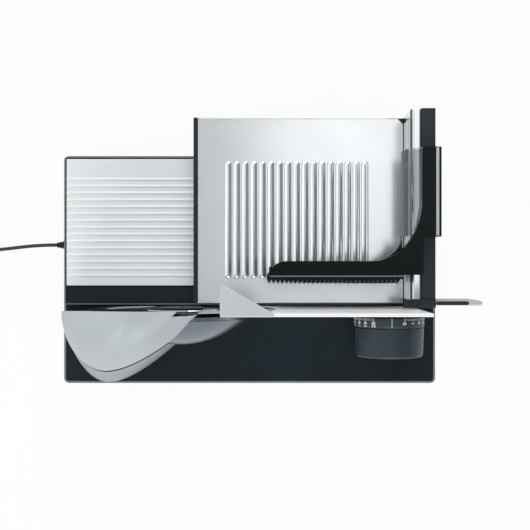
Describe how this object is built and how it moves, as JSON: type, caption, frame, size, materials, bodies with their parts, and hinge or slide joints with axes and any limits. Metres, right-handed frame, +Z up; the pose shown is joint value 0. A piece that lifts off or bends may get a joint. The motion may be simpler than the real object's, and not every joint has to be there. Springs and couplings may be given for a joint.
{
  "type": "food slicer",
  "caption": "Electric food slicer with a sliding carriage, a round belt-driven blade, a motor tower and a stop plate set by a numbered knob.",
  "frame": {"origin": "centre of the footprint of the slicer without its lead, on the surface that it stands on", "axes": "+X towards the operator's end of the carriage stroke, +Y towards the carriage side, +Z up"},
  "size_m": [0.6008, 0.261, 0.2263],
  "materials": {
    "gloss_black": "gloss",
    "trim_metal": "satin",
    "dark_plastic": "satin",
    "grey_plastic": "satin",
    "holder_black": "semi gloss",
    "nylon": "matte",
    "foot_rubber": "matte",
    "lead_rubber": "matte",
    "cast_grey": "fine texture",
    "bright_aluminium": "satin",
    "stainless": "brushed",
    "chrome": "polished",
    "machined_steel": "machined",
    "copper_winding": "wound",
    "pin_brass": "polished"
  },
  "bodies": {
    "base": {"base_housing": "gloss_black", "edge_trim": "trim_metal", "bottom_cover": "dark_plastic", "foot_1": "foot_rubber", "foot_2": "foot_rubber", "foot_3": "foot_rubber", "foot_4": "foot_rubber", "carriage_bed": "gloss_black", "ribbed_plate": "bright_aluminium", "tower_skirt": "cast_grey", "tower_cap": "cast_grey", "gear_case": "bright_aluminium", "drive_plate": "machined_steel", "motor_bracket": "machined_steel", "front_bearing": "machined_steel", "rear_bearing": "machined_steel", "drive_belt": "foot_rubber", "motor_can": "machined_steel", "rod_block_rear": "dark_plastic", "rod_block_front": "dark_plastic", "guide_rod_1": "chrome", "guide_rod_2": "chrome", "lead_nut": "dark_plastic", "switch_body": "dark_plastic", "terminal_block": "nylon", "strain_relief": "dark_plastic", "mains_lead": "lead_rubber", "lead_coil": "lead_rubber", "plug_lead": "lead_rubber", "plug_body": "dark_plastic", "plug_pin_1": "pin_brass", "plug_pin_2": "pin_brass"},
    "blade": {"blade": "stainless", "blade_shaft": "machined_steel", "blade_pulley": "dark_plastic"},
    "blade_lock": {"blade_lock": "dark_plastic"},
    "motor_rotor": {"motor_rotor": "copper_winding"},
    "stop": {"stop_plate": "bright_aluminium", "finger_guard": "bright_aluminium", "stop_carrier": "dark_plastic"},
    "knob": {"knob_gear": "dark_plastic", "scale_ring": "grey_plastic", "thickness_knob": "grey_plastic"},
    "lead_screw": {"lead_screw": "machined_steel"},
    "carriage": {"carriage_frame": "dark_plastic", "carriage_tray": "stainless", "tray_edge_bar": "dark_plastic", "front_pad": "nylon", "rear_shoe_1": "dark_plastic", "rear_shoe_2": "dark_plastic", "back_wall": "stainless", "wall_rail": "chrome", "side_bar": "dark_plastic", "thumb_guard": "cast_grey", "thumb_strip": "grey_plastic"},
    "holder": {"holder_sleeve": "holder_black", "holder_arm": "holder_black", "tooth_strip": "holder_black"},
    "start_button": {"start_button": "grey_plastic"},
    "lock_button": {"lock_button": "grey_plastic"}
  },
  "joints": [
    {"name": "carriage_slide", "type": "slide", "parent": "base", "child": "carriage", "axis": [1, 0, 0], "range_m": [-0.15, 0]},
    {"name": "holder_slide", "type": "slide", "parent": "carriage", "child": "holder", "axis": [0, 1, 0], "range_m": [-0.018, 0.035]},
    {"name": "stop_slide", "type": "slide", "parent": "base", "child": "stop", "axis": [0, -1, 0], "range_m": [0, 0.02]},
    {"name": "knob_turn", "type": "hinge", "parent": "stop", "child": "knob", "pos_m": [0.1189, -0.08, 0.095], "axis": [0, -1, 0], "range_deg": [0, 331]},
    {"name": "lead_screw_turn", "type": "hinge", "parent": "stop", "child": "lead_screw", "pos_m": [0.1189, -0.08, 0.0543], "axis": [0, -1, 0], "range_deg": [-1454, 0]},
    {"name": "blade_spin", "type": "hinge", "parent": "base", "child": "blade", "pos_m": [-0.074, -0.0525, 0.133], "axis": [0, 1, 0], "continuous": true},
    {"name": "blade_lock_turn", "type": "hinge", "parent": "blade", "child": "blade_lock", "pos_m": [-0.074, -0.0525, 0.133], "axis": [0, 1, 0], "range_deg": [0, 90]},
    {"name": "motor_spin", "type": "hinge", "parent": "base", "child": "motor_rotor", "pos_m": [-0.144, -0.07, 0.075], "axis": [0, 1, 0], "continuous": true},
    {"name": "start_button_press", "type": "slide", "parent": "base", "child": "start_button", "axis": [0, 1, 0], "range_m": [0, 0.0025], "stiffness_N_per_m": 400},
    {"name": "lock_button_press", "type": "slide", "parent": "base", "child": "lock_button", "axis": [0, 1, 0], "range_m": [0, 0.0025], "stiffness_N_per_m": 400}
  ],
  "couplings": [
    {"joint": "knob_turn", "follows": "stop_slide", "rad_per_m": 287.98},
    {"joint": "lead_screw_turn", "follows": "stop_slide", "rad_per_m": -1267.1},
    {"joint": "motor_spin", "follows": "blade_spin", "ratio": 4.2222}
  ]
}
